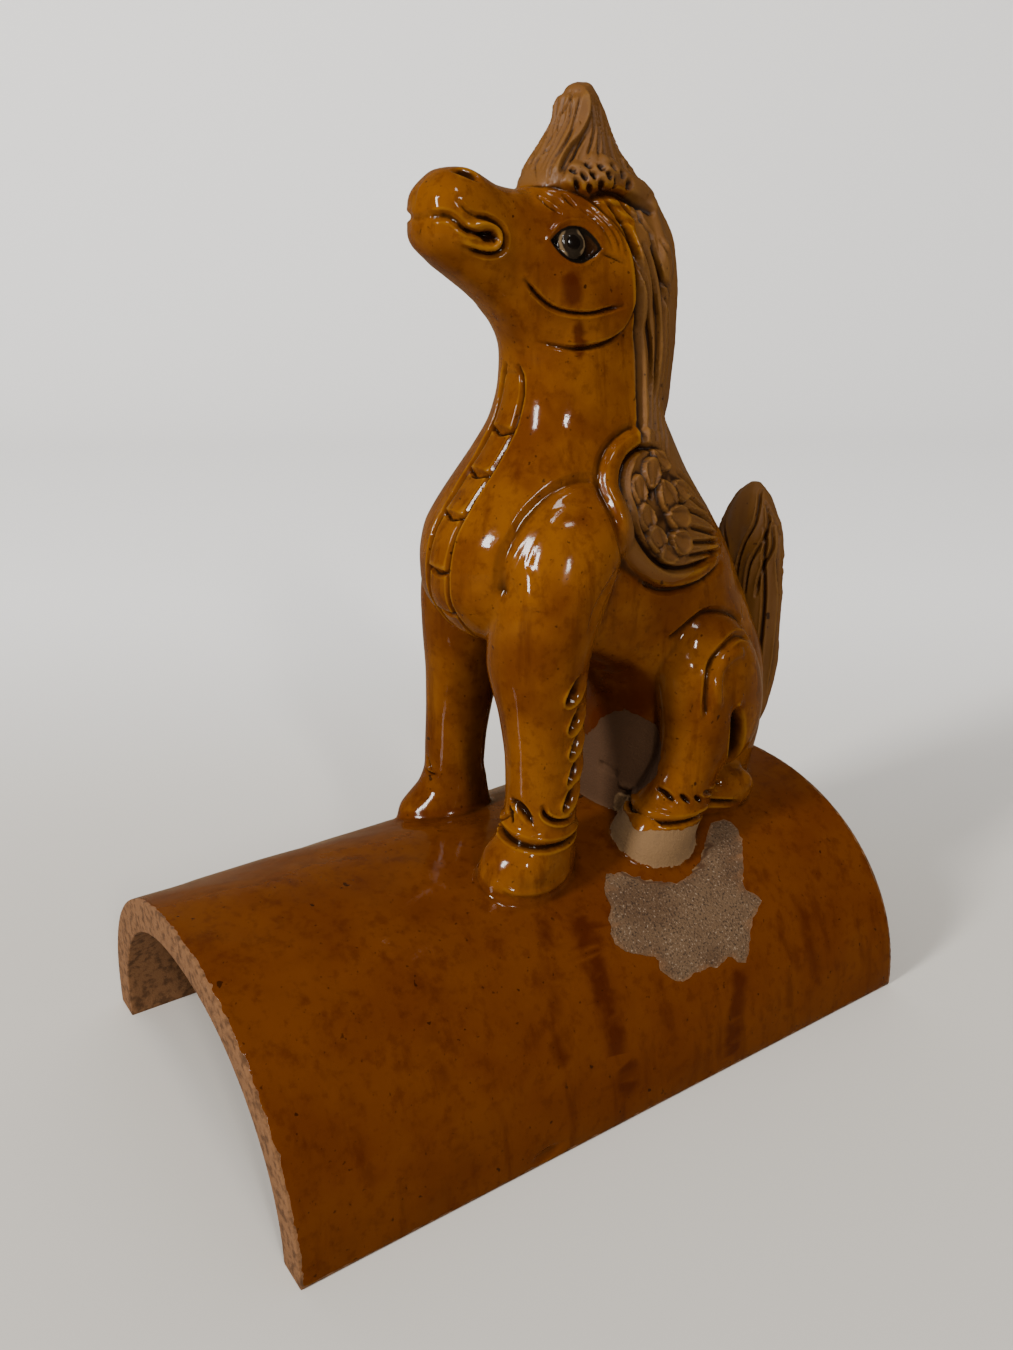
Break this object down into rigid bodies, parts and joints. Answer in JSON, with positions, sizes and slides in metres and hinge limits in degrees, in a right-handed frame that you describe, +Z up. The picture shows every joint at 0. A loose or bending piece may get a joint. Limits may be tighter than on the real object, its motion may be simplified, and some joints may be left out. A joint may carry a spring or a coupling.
{
  "type": "ridge ornament tile",
  "caption": "Amber-glazed half-round ridge tile carrying a seated horse with a flame-shaped forelock, hanging mane, saddle plates and an upright tail.",
  "frame": {"origin": "on the bedding plane, under the middle of the half-round tile", "axes": "+Z up through the tile and the horse, +Y along the tile towards the horse's tail, so the horse faces -Y, and +X to the horse's left"},
  "size_m": [0.14, 0.218, 0.2772],
  "materials": {
    "glazed_clay": "glossy amber lead glaze over pinkish-beige clay, pooled darker in the carving and bare at the edges, the underside and one worn patch"
  },
  "bodies": {
    "root": {"horse_ridge_tile": "glazed_clay"}
  },
  "joints": []
}
